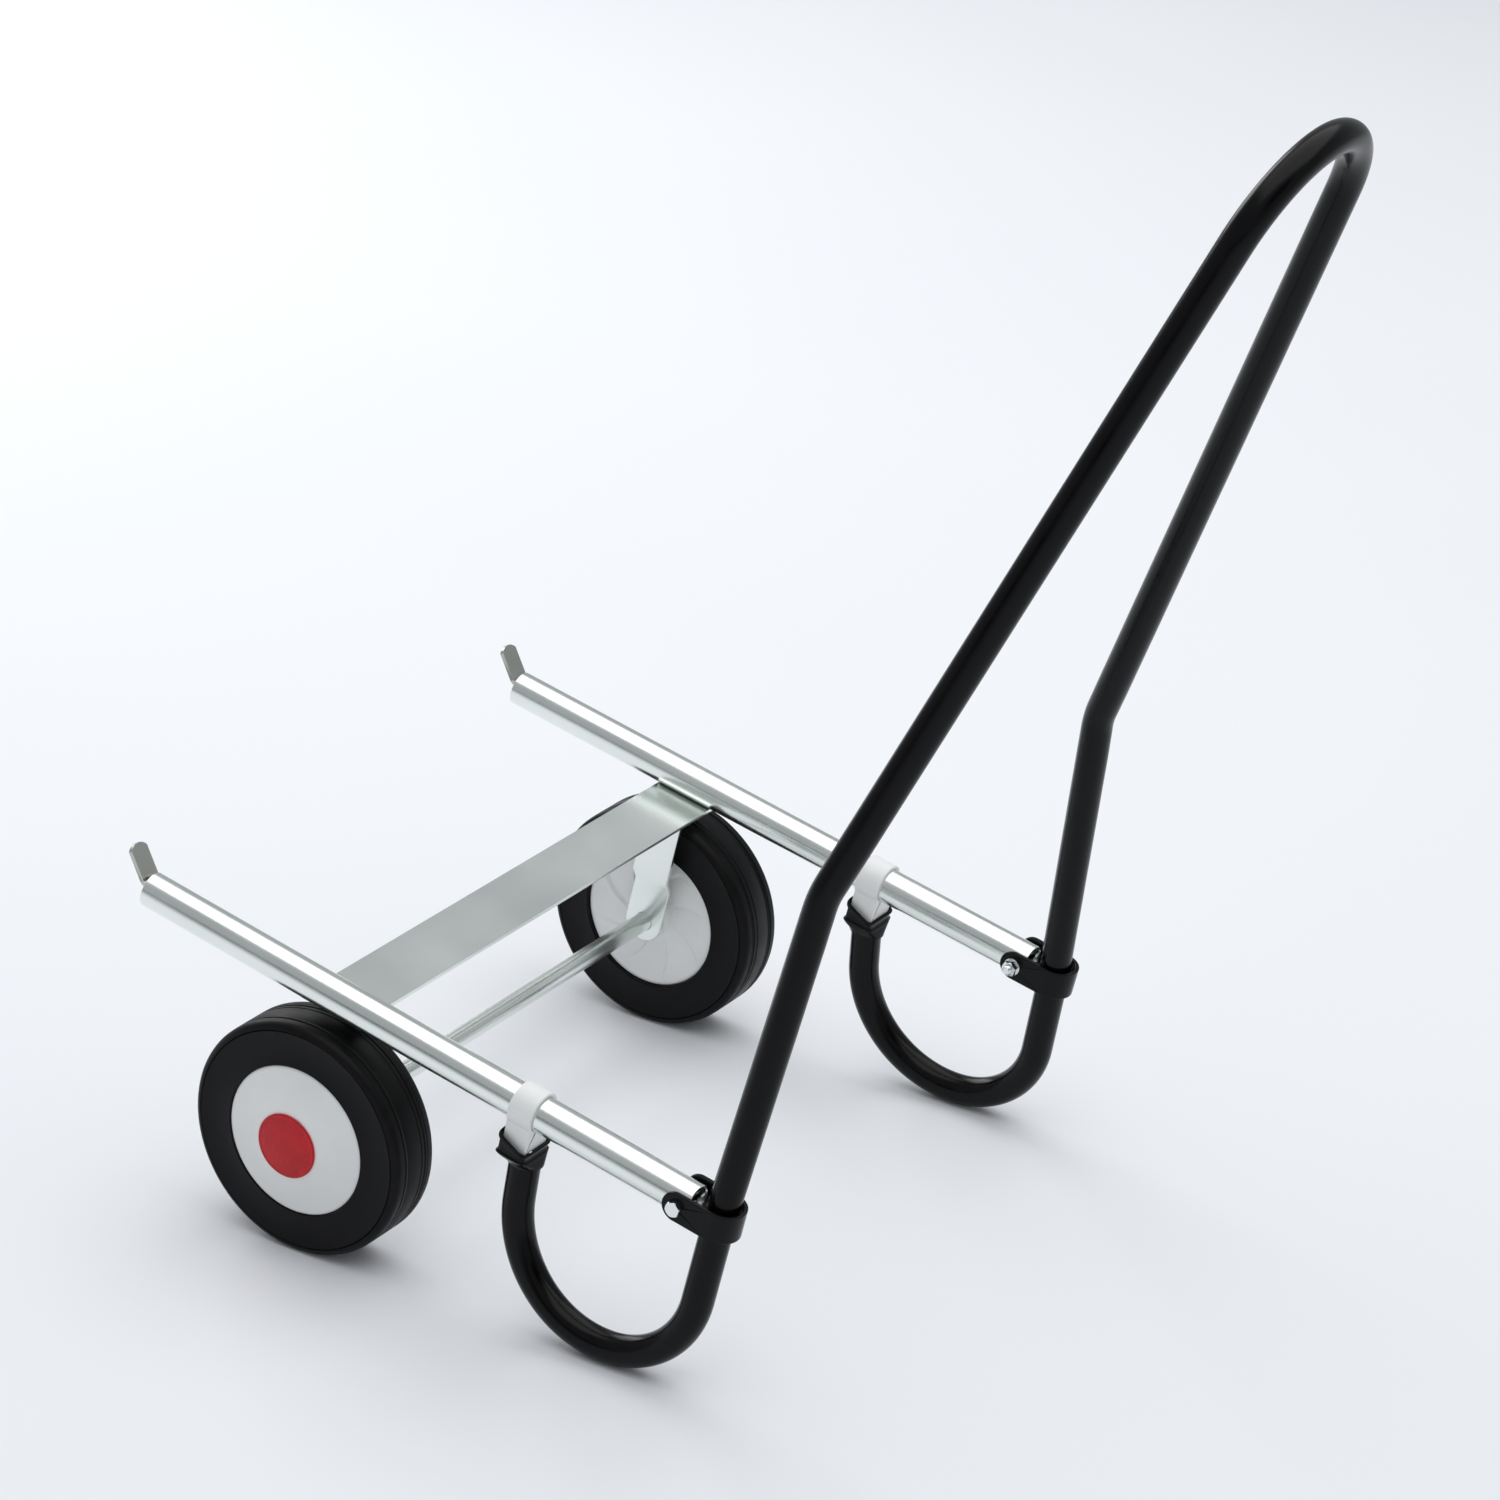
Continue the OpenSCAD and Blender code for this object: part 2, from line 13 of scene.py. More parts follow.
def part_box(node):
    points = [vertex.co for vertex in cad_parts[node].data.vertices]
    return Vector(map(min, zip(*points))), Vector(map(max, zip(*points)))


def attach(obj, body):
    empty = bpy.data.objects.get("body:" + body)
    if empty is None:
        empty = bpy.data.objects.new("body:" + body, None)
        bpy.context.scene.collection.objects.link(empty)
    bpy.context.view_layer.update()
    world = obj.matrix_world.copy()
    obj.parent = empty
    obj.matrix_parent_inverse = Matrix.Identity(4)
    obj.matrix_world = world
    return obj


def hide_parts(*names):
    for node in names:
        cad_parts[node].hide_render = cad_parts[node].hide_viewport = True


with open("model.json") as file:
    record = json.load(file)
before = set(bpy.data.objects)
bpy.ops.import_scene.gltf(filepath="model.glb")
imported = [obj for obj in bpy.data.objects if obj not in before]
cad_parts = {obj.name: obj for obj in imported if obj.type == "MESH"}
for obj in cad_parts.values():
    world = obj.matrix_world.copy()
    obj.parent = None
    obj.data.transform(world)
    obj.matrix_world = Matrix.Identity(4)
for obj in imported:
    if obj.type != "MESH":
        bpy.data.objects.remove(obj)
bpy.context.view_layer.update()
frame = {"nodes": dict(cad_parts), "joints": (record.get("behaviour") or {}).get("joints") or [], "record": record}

MM = 0.001
SIDES = (("left", 1), ("right", -1))
FINE = 96  # segments round a tube or a wheel part


# ---------- places read from the frame ----------

JOINTS = {j["name"]: j for j in frame["joints"]}
MOUNTS = {m["name"]: m for m in frame["record"]["mounts"]}
AXLE = Vector(JOINTS["left_wheel_spin"]["pos_m"])
PIVOT = Vector(JOINTS["platform_fold"]["pos_m"])


def size_of(node):
    low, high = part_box(node)
    return Vector(high) - Vector(low)


def middle_of(node):
    low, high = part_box(node)
    return (Vector(low) + Vector(high)) / 2


def rail_facts():
    """Length, diameter and tilt of the left rail, from its box."""
    size = size_of("left_rail")
    tilt = 0.2
    for _ in range(30):
        tilt = math.atan2(size.z - size.y * math.cos(tilt), size.x - size.y * math.sin(tilt))
    length = math.hypot(size.z - size.y * math.cos(tilt), size.x - size.y * math.sin(tilt))
    return length, size.y, tilt


RAIL_LEN, RAIL_D, RAIL_TILT = rail_facts()
RAIL_MID = middle_of("left_rail")
ALONG = Vector((math.cos(RAIL_TILT), 0, math.sin(RAIL_TILT)))
SQUARE = Vector((-math.sin(RAIL_TILT), 0, math.cos(RAIL_TILT)))
RAIL_REAR = RAIL_MID - ALONG * (RAIL_LEN / 2)


def rail_point(u, across, v, side):
    """A point u along the rail from its rear end, v square to it, and across from its centre line.

    Across is positive outward.
    """
    p = RAIL_REAR + ALONG * u + SQUARE * v
    return Vector((p.x, side * (RAIL_REAR.y + across), p.z))


# ---------- node helpers ----------

def new_material(name):
    material = bpy.data.materials.new(name)
    material.use_nodes = True
    tree = material.node_tree
    tree.nodes.clear()
    out = tree.nodes.new("ShaderNodeOutputMaterial")
    shader = tree.nodes.new("ShaderNodeBsdfPrincipled")
    tree.links.new(shader.outputs["BSDF"], out.inputs["Surface"])
    return material, tree, shader


def object_coords(tree):
    return tree.nodes.new("ShaderNodeTexCoord").outputs["Object"]


def noise(tree, scale, detail=3.0, roughness=0.5, vector=None):
    node = tree.nodes.new("ShaderNodeTexNoise")
    node.inputs["Scale"].default_value = scale
    node.inputs["Detail"].default_value = detail
    node.inputs["Roughness"].default_value = roughness
    tree.links.new(vector or object_coords(tree), node.inputs["Vector"])
    return node.outputs["Fac"]


def ramp(tree, value, stops):
    node = tree.nodes.new("ShaderNodeValToRGB")
    ends = node.color_ramp.elements
    while len(ends) < len(stops):
        ends.new(0.5)
    for end, (place, colour) in zip(ends, stops):
        end.position = place
        end.color = (*colour, 1)
    tree.links.new(value, node.inputs["Fac"])
    return node.outputs["Color"]


def spread(tree, value, low, high, from_low=0.3, from_high=0.7):
    node = tree.nodes.new("ShaderNodeMapRange")
    node.inputs["From Min"].default_value = from_low
    node.inputs["From Max"].default_value = from_high
    node.inputs["To Min"].default_value = low
    node.inputs["To Max"].default_value = high
    tree.links.new(value, node.inputs["Value"])
    return node.outputs["Result"]


def add_up(tree, first, second, weight=1.0):
    node = tree.nodes.new("ShaderNodeMath")
    node.operation = "MULTIPLY_ADD"
    node.inputs[1].default_value = weight
    tree.links.new(second, node.inputs[0])
    tree.links.new(first, node.inputs[2])
    return node.outputs["Value"]


def bump(tree, shader, height, distance, strength=1.0):
    node = tree.nodes.new("ShaderNodeBump")
    node.inputs["Strength"].default_value = strength
    node.inputs["Distance"].default_value = distance
    tree.links.new(height, node.inputs["Height"])
    tree.links.new(node.outputs["Normal"], shader.inputs["Normal"])


# ---------- materials ----------

def black_enamel():
    """Gloss black stove enamel on steel: faint orange peel and thin patches of handling haze."""
    material, tree, shader = new_material("black_enamel")
    patches = noise(tree, 34, 4)
    grain = noise(tree, 900, 2)
    tint = ramp(tree, patches, [(0.35, (0.0010, 0.0010, 0.0013)), (0.7, (0.0020, 0.0020, 0.0025))])
    tree.links.new(tint, shader.inputs["Base Color"])
    tree.links.new(spread(tree, patches, 0.17, 0.26), shader.inputs["Roughness"])
    shader.inputs["Specular IOR Level"].default_value = 0.17
    bump(tree, shader, grain, 0.00004, 0.5)
    return material


def zinc_plate(name, dark, light, rough_low, rough_high):
    """Passivated zinc: satin pale metal with very soft tint clouds and a fine grain."""
    material, tree, shader = new_material(name)
    clouds = noise(tree, 9, 3, 0.5)
    fine = noise(tree, 420, 3, 0.6)
    mixed = add_up(tree, clouds, fine, 0.12)
    tree.links.new(ramp(tree, mixed, [(0.35, dark), (0.78, light)]), shader.inputs["Base Color"])
    tree.links.new(spread(tree, mixed, rough_low, rough_high, 0.4, 0.8), shader.inputs["Roughness"])
    shader.inputs["Metallic"].default_value = 1.0
    bump(tree, shader, fine, 0.00001, 0.25)
    return material


def tyre_rubber():
    """Solid black rubber: satin sidewalls with a fine moulded grain and a little dust."""
    material, tree, shader = new_material("tyre_rubber")
    dust = noise(tree, 60, 5, 0.65)
    grain = noise(tree, 1500, 2)
    mark_out, mark_turn = 0.0725, math.radians(80)
    mark = ring_mark(tree, AXLE.x + mark_out * math.cos(mark_turn), AXLE.z + mark_out * math.sin(mark_turn))
    tree.links.new(ramp(tree, dust, [(0.4, (0.0022, 0.0022, 0.0026)), (0.75, (0.0055, 0.0055, 0.0062))]),
                   shader.inputs["Base Color"])
    tree.links.new(spread(tree, dust, 0.40, 0.54), shader.inputs["Roughness"])
    shader.inputs["Specular IOR Level"].default_value = 0.15
    bump(tree, shader, add_up(tree, grain, mark, 9.0), 0.00006, 0.6)
    return material


def ring_mark(tree, x, z):
    """A raised ring about one line across the trolley: 1 on the ring and 0 away from it."""
    ring_r, half_width = 0.0055, 0.0007
    split = tree.nodes.new("ShaderNodeSeparateXYZ")
    tree.links.new(object_coords(tree), split.inputs["Vector"])
    join = tree.nodes.new("ShaderNodeCombineXYZ")
    tree.links.new(split.outputs["X"], join.inputs["X"])
    tree.links.new(split.outputs["Z"], join.inputs["Z"])
    away = tree.nodes.new("ShaderNodeVectorMath")
    away.operation = "DISTANCE"
    away.inputs[1].default_value = (x, 0, z)
    tree.links.new(join.outputs["Vector"], away.inputs[0])
    band = tree.nodes.new("ShaderNodeMath")
    band.operation = "COMPARE"
    band.inputs[1].default_value = ring_r
    band.inputs[2].default_value = half_width
    tree.links.new(away.outputs["Value"], band.inputs[0])
    return band.outputs["Value"]


def white_plastic():
    """White moulded polypropylene: soft gloss, faint flow clouds and a fine skin."""
    material, tree, shader = new_material("white_plastic")
    flow = noise(tree, 22, 3)
    skin = noise(tree, 1200, 2)
    tree.links.new(ramp(tree, flow, [(0.3, (0.80, 0.81, 0.80)), (0.7, (0.87, 0.875, 0.865))]),
                   shader.inputs["Base Color"])
    tree.links.new(spread(tree, flow, 0.30, 0.42), shader.inputs["Roughness"])
    bump(tree, shader, skin, 0.00003, 0.4)
    return material


def red_plastic():
    """Glossy red moulded plastic with slight flow marks."""
    material, tree, shader = new_material("red_plastic")
    flow = noise(tree, 70, 3)
    skin = noise(tree, 1400, 2)
    tree.links.new(ramp(tree, flow, [(0.3, (0.46, 0.001, 0.006)), (0.7, (0.58, 0.002, 0.010))]),
                   shader.inputs["Base Color"])
    tree.links.new(spread(tree, flow, 0.22, 0.34), shader.inputs["Roughness"])
    shader.inputs["Specular IOR Level"].default_value = 0.35
    bump(tree, shader, skin, 0.00003, 0.4)
    return material


MATERIALS = {
    "black_enamel": black_enamel(),
    "zinc_plate": zinc_plate("zinc_plate", (0.80, 0.85, 0.815), (0.86, 0.90, 0.87), 0.20, 0.27),
    "bright_zinc": zinc_plate("bright_zinc", (0.70, 0.74, 0.75), (0.88, 0.91, 0.92), 0.14, 0.26),
    "dull_zinc": zinc_plate("dull_zinc", (0.46, 0.47, 0.42), (0.56, 0.57, 0.52), 0.28, 0.38),
    "tyre_rubber": tyre_rubber(),
    "white_plastic": white_plastic(),
    "red_plastic": red_plastic(),
}
SLOTS = {p["node"]: p["material_slot"] for p in frame["record"]["subparts"]}


# ---------- mesh helpers ----------

def make_piece(name, vertices, faces, node, body, sharp=35):
    """A mesh piece that stands for a CAD node, rides on its body and takes its slot and material."""
    mesh = bpy.data.meshes.new(name)
    mesh.from_pydata([tuple(v) for v in vertices], [], faces)
    mesh.validate()
    piece = bpy.data.objects.new(name, mesh)
    bpy.context.scene.collection.objects.link(piece)
    slot = SLOTS[node]
    mesh.materials.append(MATERIALS[slot])
    fix_normals(mesh)
    mesh.shade_smooth()
    mesh.set_sharp_from_angle(angle=math.radians(sharp))
    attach(piece, body)
    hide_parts(node)
    return piece


def fix_normals(mesh):
    """Points every face outward."""
    work = bmesh.new()
    work.from_mesh(mesh)
    bmesh.ops.remove_doubles(work, verts=work.verts, dist=1e-7)
    bmesh.ops.recalc_face_normals(work, faces=work.faces)
    work.to_mesh(mesh)
    work.free()


def loft(rings, closed_ends=True):
    """Vertices and faces of a skin over rings of equal length.

    closed_ends caps both ends. Otherwise the last ring joins the first.
    """
    count = len(rings[0])
    vertices = [p for ring in rings for p in ring]
    faces = []
    spans = len(rings) - 1 if closed_ends else len(rings)
    for i in range(spans):
        a, b = i * count, (i + 1) % len(rings) * count
        for k in range(count):
            n = (k + 1) % count
            faces.append((a + k, a + n, b + n, b + k))
    if closed_ends:
        faces.append(tuple(range(count - 1, -1, -1)))
        last = (len(rings) - 1) * count
        faces.append(tuple(last + k for k in range(count)))
    return vertices, faces


def lathe(profile, place, segments=FINE):
    """Turns a closed profile of (radius, depth) about an axis.

    place(radius, angle, depth) gives the point.
    """
    rings = [[place(r, 2 * math.pi * k / segments, y) for k in range(segments)] for r, y in profile]
    return loft(rings, closed_ends=False)


def wheel_place(side):
    """Points about the axle; depth is the distance from the middle plane."""
    def place(r, angle, y):
        return Vector((AXLE.x + r * math.cos(angle), side * y, AXLE.z + r * math.sin(angle)))
    return place


# ---------- handle tube ----------

# Sizes of the tube that no box or mount of the frame gives
KNEE_Z = 0.354
HINGE_BACK = 0.0255  # from the hinge bolt back to the rear leg
REAR_LEAN = math.radians(9.8)
FRONT_LEAN = math.radians(4.2)
FOOT_SPLAY = 0.009
FOOT_FLAT = 0.001
LEG_BACK = 0.0033  # from the middle of the rail clip back to the front leg
LEG_IN = 0.002
THROAT_V = -0.041  # level of the seat's throat, from the rail's centre line
TOE_R = 0.077
HINGE_BEND_R = 0.060
KNEE_R = 0.090
BOW_R = 0.073
TUBE_WALL = 0.0015


def arc_between(before, corner, after, radius, steps):
    """Points along the arc of that radius that is tangent to both legs of a corner."""
    a, b = (corner - before).normalized(), (after - corner).normalized()
    angle = a.angle(b)
    start = corner - a * (radius * math.tan(angle / 2))
    centre = corner + (b - a).normalized() * (radius / math.cos(angle / 2))
    axis = a.cross(b).normalized()
    return [centre + Matrix.Rotation(angle * k / steps, 3, axis) @ (start - centre) for k in range(steps + 1)]


def handle_path():
    """Corners and bend radii of the handle tube's centre line, and the tube's radius.

    It runs from the left leg top round the bow to the right leg top.
    """
    arm = MOUNTS["left_handle_arm"]
    mid, along = Vector(arm["pos_m"]), Vector(arm["axis"]).normalized()
    if along.z < 0:
        along = -along
    tube_r = arm["dims"]["r_mm"] * MM
    apex = mid + along * (mid.y / -along.y)
    knee = mid + along * ((KNEE_Z - mid.z) / along.z)
    hinge = PIVOT - ALONG * HINGE_BACK
    hinge.y = RAIL_REAR.y
    foot_y = hinge.y + FOOT_SPLAY
    heel = Vector((hinge.x + (hinge.z - tube_r) * math.tan(REAR_LEAN), foot_y, tube_r))
    seat_u = rail_u(middle_of("left_rail_clip")) - LEG_BACK
    leg_top = rail_point(seat_u, -LEG_IN, THROAT_V, 1)
    toe = Vector((leg_top.x + (leg_top.z - tube_r) * math.tan(FRONT_LEAN), foot_y, tube_r))
    half = [leg_top, toe, heel, hinge, knee]
    toe_run = TOE_R * math.tan((math.pi / 2 + FRONT_LEAN) / 2)
    heel_r = (toe.x - heel.x - FOOT_FLAT - toe_run) / math.tan((math.pi / 2 - REAR_LEAN) / 2)
    radii = [0, TOE_R, heel_r, HINGE_BEND_R, KNEE_R]
    corners = half + [apex] + [Vector((p.x, -p.y, p.z)) for p in reversed(half)]
    bends = radii + [BOW_R] + list(reversed(radii))
    return corners, bends, tube_r


def rail_u(point):
    return (Vector((point.x, 0, point.z)) - Vector((RAIL_REAR.x, 0, RAIL_REAR.z))).dot(ALONG)


def centre_line(corners, bends):
    """Evenly fine points along the path: short steps in the bends, longer ones in the straights."""
    points = [corners[0]]
    for i in range(1, len(corners) - 1):
        turn = (corners[i] - corners[i - 1]).angle(corners[i + 1] - corners[i])
        steps = max(6, round(math.degrees(turn) / 2.5))
        points += arc_between(corners[i - 1], corners[i], corners[i + 1], bends[i], steps)
    points.append(corners[-1])
    full = [points[0]]
    for a, b in zip(points, points[1:]):
        parts = max(1, math.ceil((b - a).length / 0.02))
        full += [a.lerp(b, k / parts) for k in range(1, parts + 1)]
    return full


def tube_rings(points, radius, segments=64, pinch=None):
    """Rings along a centre line, carried without twist. pinch(point, outward) may pull a vertex in."""
    rings = []
    tangent = (points[1] - points[0]).normalized()
    side = tangent.orthogonal().normalized()
    for i, p in enumerate(points):
        a = points[max(i - 1, 0)]
        b = points[min(i + 1, len(points) - 1)]
        new_tangent = (b - a).normalized()
        side = tangent.rotation_difference(new_tangent) @ side
        tangent = new_tangent
        other = tangent.cross(side)
        ring = []
        for k in range(segments):
            t = 2 * math.pi * k / segments
            out = side * math.cos(t) + other * math.sin(t)
            ring.append(p + out * (radius - (pinch(p, out) if pinch else 0)))
        rings.append(ring)
    return rings


def handle_tube():
    corners, bends, tube_r = handle_path()
    line = centre_line(corners, bends)
    creases = [c for c in corners if abs(c.z - KNEE_Z) < MM]
    press, reach = 0.0011, 0.011

    def pinch(point, out):
        """A shallow flat on the inside of each knee bend, where the tube was pressed round the former."""
        depth = 0.0
        for knee in creases:
            inner = Vector((-1, 0, 0.35)).normalized()
            near = math.exp(-((point - knee).length / reach) ** 2)
            depth += press * near * max(0.0, out.dot(inner)) ** 3
        return depth

    skin = tube_r - 0.0001  # a hair inside the CAD tube
    outer = tube_rings(line, skin, pinch=pinch)
    inner = tube_rings(line, skin - TUBE_WALL, pinch=pinch)
    rings = outer + list(reversed(inner))
    vertices, faces = loft(rings, closed_ends=False)
    make_piece("handle_tube_bent", vertices, faces, "handle_tube", "handle_frame", 50)


# ---------- rails, axle ----------

RAIL_WALL = 0.0015


def tube_profile(d, wall, length, chamfer=0.0004):
    """Closed outline (radius, distance) of a straight tube with broken edges."""
    r, q = d / 2, d / 2 - wall
    return [
        (q, chamfer), (q + chamfer, 0), (r - chamfer, 0), (r, chamfer),
        (r, length * 0.25), (r, length * 0.5), (r, length * 0.75), (r, length - chamfer),
        (r - chamfer, length), (q + chamfer, length), (q, length - chamfer), (q, length * 0.5),
    ]


def rails():
    for name, side in SIDES:
        def place(r, angle, u, side=side):
            return rail_point(u, r * math.cos(angle), r * math.sin(angle), side)
        vertices, faces = lathe(tube_profile(RAIL_D, RAIL_WALL, RAIL_LEN), place)
        make_piece(name + "_rail_tube", vertices, faces, name + "_rail", "platform")


def axle_rod():
    size = size_of("axle")
    r, half = size.z / 2, size.y / 2

    def place(radius, angle, y):
        return Vector((AXLE.x + radius * math.cos(angle), y, AXLE.z + radius * math.sin(angle)))

    chamfer = 0.0008
    ring = [(r - chamfer, -half), (r, -half + chamfer), (r, 0), (r, half - chamfer), (r - chamfer, half)]
    rings = [[place(a, 2 * math.pi * k / FINE, y) for k in range(FINE)] for a, y in ring]
    vertices, faces = loft(rings)
    make_piece("axle_rod", vertices, faces, "axle", "platform")


# ---------- wheels ----------

def tyre_outline(outer, inner, y0, y1):
    """Cross-section of the tyre: flat sidewalls with a raised bead, a shoulder line and fine tread lines."""
    middle = (y0 + y1) / 2
    half = (y1 - y0) / 2
    side = [
        (inner, half - 0.0008), (inner + 0.0010, half), (inner + 0.0022, half - 0.0004),
        (inner + 0.0150, half - 0.0007), (outer - 0.0085, half - 0.0003), (outer - 0.0062, half),
        (outer - 0.0056, half - 0.0009), (outer - 0.0050, half - 0.0003), (outer - 0.0036, half - 0.0006),
        (outer - 0.0018, half - 0.0019), (outer - 0.0006, half - 0.0036), (outer - 0.0001, half - 0.0052),
    ]
    # place of each groove across the tread, and its depth
    grooves = (
        (0.0120, 0.0009), (0.0090, 0.0004), (-0.0060, 0.0005), (-0.0100, 0.0009), (-0.0125, 0.0004),
    )
    tread = []
    for centre, depth in grooves:
        tread += [(outer, centre + 0.0010), (outer - depth, centre + 0.0003)]
        tread += [(outer - depth, centre - 0.0003), (outer, centre - 0.0010)]
    other = [(r, -y) for r, y in reversed(side)]
    return [(r, middle + y) for r, y in side + tread + other]


def tyres():
    for name, side in SIDES:
        low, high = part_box(name + "_tyre")
        y0, y1 = sorted((abs(low[1]), abs(high[1])))
        outer = (high[0] - low[0]) / 2
        hub = size_of(name + "_wheel_hub").x / 2
        outline = tyre_outline(outer, hub, y0, y1)
        vertices, faces = lathe(outline, wheel_place(side), 256)
        make_piece(name + "_tyre_tread", vertices, faces, name + "_tyre", name + "_wheel", 30)


def hub_place(side, rim, y_in):
    """Like wheel_place, but the inner face is moulded in broad, shallow swirled petals."""
    plain = wheel_place(side)
    petals, height, twist = 8, 0.0020, 16
    start, end, blend = 0.0165, rim - 0.003, 0.006
    crest, fall = 0.93, 0.07

    def place(r, angle, y):
        if abs(y - y_in) < 0.0005 and start < r < end:
            swirl = side * angle + twist * (r - 0.016)
            step = (swirl * petals / (2 * math.pi)) % 1.0
            wave = step if step < crest else (1.0 - step) / fall * crest
            fade = min(1.0, (r - start) / blend, (end - r) / blend)
            y += height * wave * max(0.0, fade)
        return plain(r, angle, y)
    return place


def hubs():
    cap_r = size_of("left_hub_cap").x / 2
    pocket, retainer = 0.015, size_of("left_axle_retainer").x / 2
    dish, tyre_lip = 0.003, 0.0005
    for name, side in SIDES:
        low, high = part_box(name + "_wheel_hub")
        y_in, y_top = sorted((abs(low[1]), abs(high[1])))
        rim = (high[0] - low[0]) / 2
        y_tyre = sorted(abs(c[1]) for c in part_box(name + "_tyre"))
        face_in, y_out = y_tyre[0] + dish, y_tyre[1] - tyre_lip
        rise = y_top - y_out
        bore = size_of("axle").z / 2 + 0.0001
        boss = 0.015
        profile = [
            (bore, y_in), (boss - 0.001, y_in), (boss - 0.0003, y_in + 0.0003), (boss, y_in + 0.001),
            (boss, face_in - 0.0008), (boss + 0.0008, face_in),
        ]
        profile += [(boss + 0.0015 + (rim - boss - 0.0045) * k / 40, face_in) for k in range(41)]
        profile += [
            (rim - 0.0022, face_in), (rim - 0.0008, face_in + 0.0002), (rim, face_in + 0.001),
            (rim, y_out - 0.0008), (rim - 0.0008, y_out - 0.0002), (rim - 0.0020, y_out + 0.0001),
        ]
        for k in range(1, 16):
            t = k / 16
            profile.append((rim - 0.002 + (cap_r - rim + 0.003) * t, y_out + (rise - 0.0003) * t))
        profile += [
            (cap_r + 0.0006, y_top - 0.0002), (cap_r, y_top - 0.0001), (cap_r - 0.002, y_top - 0.0001),
            (pocket, y_top - 0.0001), (pocket, y_out), (retainer - 0.003, y_out), (bore, y_out),
        ]
        vertices, faces = lathe(profile, hub_place(side, rim, face_in), 256)
        make_piece(name + "_hub_moulding", vertices, faces, name + "_wheel_hub", name + "_wheel", 28)


def hub_caps():
    """Shallow red caps: a rounded rim bead, a faint groove inside it and a low crown."""
    for name, side in SIDES:
        low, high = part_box(name + "_hub_cap")
        y0, y1 = sorted((abs(low[1]), abs(high[1])))
        r = (high[0] - low[0]) / 2
        base = y1 - 0.003
        profile = [
            (0.0138, y0), (0.01495, y0), (0.01495, base), (r - 0.0003, base), (r, base + 0.0004),
            (r, base + 0.0010), (r - 0.0003, base + 0.0014), (r - 0.0009, base + 0.0017),
            (r - 0.0017, base + 0.0017), (r - 0.0024, base + 0.0014), (r - 0.0031, base + 0.0016),
        ]
        for k in range(1, 25):
            t = k / 24
            out = (r - 0.0031) * (1 - t)
            profile.append((max(out, 0.00002), base + 0.0016 + 0.00135 * (1 - (out / (r - 0.0031)) ** 2)))
        profile += [(0.00002, base), (0.0138, base)]
        vertices, faces = lathe(profile, wheel_place(side))
        make_piece(name + "_cap_disc", vertices, faces, name + "_hub_cap", name + "_wheel", 40)


# ---------- hinge fasteners ----------

BOLT_R = 0.003
HEX_FLATS = 0.010


def bolt_axis(side):
    """Points about the hinge bolt; depth is the distance outward from the rail's centre line."""
    def place(r, angle, y):
        return Vector((PIVOT.x + r * math.cos(angle), side * (RAIL_REAR.y + y),
                       PIVOT.z + r * math.sin(angle)))
    return place


def hex_radius(flats, angle):
    """Distance to the edge of a hexagon with that width across flats."""
    sector = math.pi / 3
    return flats / 2 / math.cos((angle + RAIL_TILT) % sector - sector / 2)


def hex_rings(flats, y0, y1, place, bore=None):
    """Rings of a hexagon block with both rims chamfered."""
    rings = []
    chamfer = 0.0005
    for y, cap in ((y0, flats / 2 * 1.02), (y0 + chamfer, 1), (y1 - chamfer, 1), (y1, flats / 2 * 1.02)):
        rings.append([place(min(cap, hex_radius(flats, 2 * math.pi * k / FINE)), 2 * math.pi * k / FINE, y)
                      for k in range(FINE)])
    if bore:
        for y in (y1 - chamfer, y0 + chamfer):
            rings.append([place(bore, 2 * math.pi * k / FINE, y) for k in range(FINE)])
    return rings


def pivot_bolts():
    pitch, depth = 0.001, 0.0003
    for name, side in SIDES:
        low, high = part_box(name + "_pivot_bolt")
        inner, outer = sorted((abs(low[1]) - RAIL_REAR.y, abs(high[1]) - RAIL_REAR.y))
        strap_out = size_of(name + "_hinge_strap").y / 2
        place = bolt_axis(side)
        rings = []
        thread_end = -strap_out + 0.004
        steps = round((thread_end - inner) / pitch * 8)
        for i in range(steps + 1):
            y = inner + (thread_end - inner) * i / steps
            ring = []
            for k in range(FINE):
                a = 2 * math.pi * k / FINE
                wave = abs(((y / pitch - side * a / (2 * math.pi)) % 1.0) * 2 - 1)
                lead = min(1.0, (y - inner) / 0.0008)
                ring.append(place(BOLT_R - depth * (1 - wave) - 0.0005 * (1 - lead), a, y))
            rings.append(ring)
        rings.append([place(BOLT_R, 2 * math.pi * k / FINE, thread_end + 0.0005) for k in range(FINE)])
        rings.append([place(BOLT_R, 2 * math.pi * k / FINE, strap_out) for k in range(FINE)])
        rings += hex_rings(HEX_FLATS, strap_out, outer, place)
        vertices, faces = loft(rings)
        make_piece(name + "_pivot_bolt_threaded", vertices, faces, name + "_pivot_bolt", "handle_frame", 30)


def pivot_nuts():
    for name, side in SIDES:
        low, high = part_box(name + "_pivot_nut")
        y0, y1 = sorted((abs(low[1]) - RAIL_REAR.y, abs(high[1]) - RAIL_REAR.y))
        rings = hex_rings(HEX_FLATS, y0, y1, bolt_axis(side), bore=BOLT_R + 0.00005)
        vertices, faces = loft(rings, closed_ends=False)
        make_piece(name + "_pivot_nut_hex", vertices, faces, name + "_pivot_nut", "handle_frame", 25)


# ---------- rail seats ----------

def seat_section(half_u, half_y, share, throat, shift_u, shift_y, count=64):
    """One level of the seat: a rounded rectangle at share 0, the leg's circle at share 1."""
    points = []
    for k in range(count):
        a = 2 * math.pi * k / count
        c, s = math.cos(a), math.sin(a)
        power = 2 / 7.0
        u = half_u * math.copysign(abs(c) ** power, c)
        w = half_y * math.copysign(abs(s) ** power, s)
        cu, cw = shift_u + throat * c, shift_y + throat * s
        points.append((u * (1 - share) + cu * share, w * (1 - share) + cw * share))
    return points


